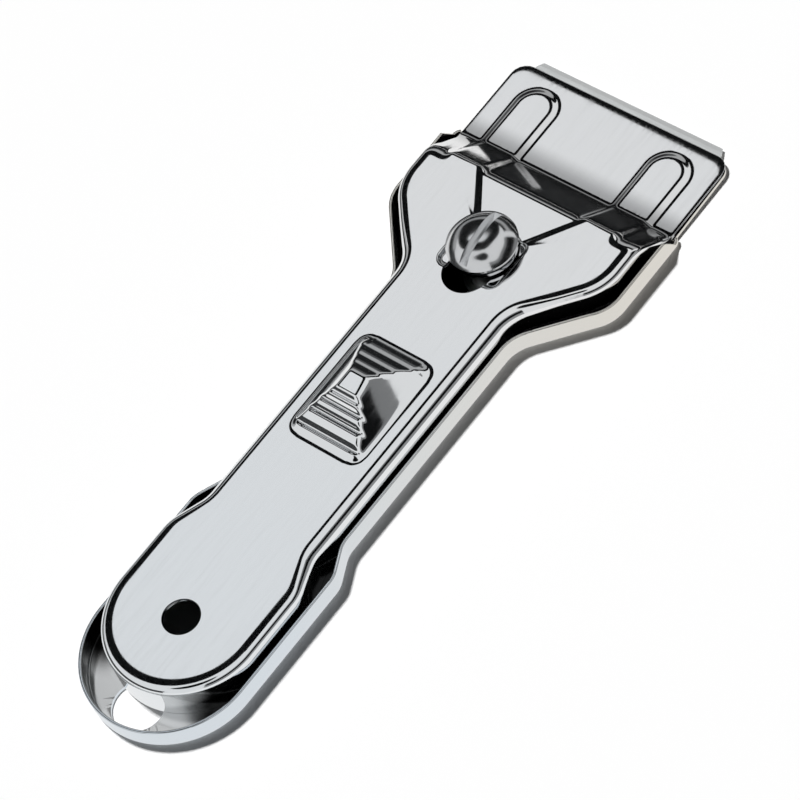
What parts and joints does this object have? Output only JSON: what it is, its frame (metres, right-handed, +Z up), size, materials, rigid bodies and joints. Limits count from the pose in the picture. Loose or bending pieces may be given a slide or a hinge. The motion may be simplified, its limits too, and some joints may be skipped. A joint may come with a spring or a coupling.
{
  "type": "razor blade scraper",
  "caption": "Hand scraper of plated sheet steel: a sliding stamped cover clamps a thin flat blade against a base shell, locked by a slotted screw",
  "frame": {"origin": "centre of the hanging hole in the base's tail, at the level of the flat underside", "axes": "+X from the hanging hole towards the cutting edge, +Y to the left of someone who pushes the scraper, +Z up from the surface it lies on"},
  "size_m": [0.1375, 0.0474, 0.0122],
  "materials": {
    "base_plate": "bright plated sheet steel",
    "cover_plate": "bright plated sheet steel",
    "standoff": "turned steel",
    "blade": "ground blade steel",
    "washer": "bright plated steel",
    "screw": "bright plated steel"
  },
  "bodies": {
    "base": {"base_shell": "base_plate", "standoff": "standoff"},
    "cover": {"sliding_cover": "cover_plate"},
    "blade": {"razor_blade": "blade"},
    "washers": {"flat_washer": "washer", "spring_washer": "washer"},
    "screw": {"clamp_screw": "screw"}
  },
  "joints": [
    {"name": "cover_slide", "type": "slide", "parent": "base", "child": "cover", "axis": [1, 0, 0], "range_m": [-0.002, 0.0049]},
    {"name": "blade_change", "type": "slide", "parent": "cover", "child": "blade", "axis": [1, 0, 0], "range_m": [0, 0.0166]},
    {"name": "screw_rise", "type": "slide", "parent": "base", "child": "washers", "axis": [0, 0, 1], "range_m": [0, 0.0016]},
    {"name": "screw_turn", "type": "hinge", "parent": "washers", "child": "screw", "pos_m": [0.0935, 0, 0.0098], "axis": [0, 0, 1], "range_deg": [0, 720]}
  ],
  "couplings": [
    {"joint": "screw_turn", "follows": "screw_rise", "rad_per_m": 7853.9}
  ]
}
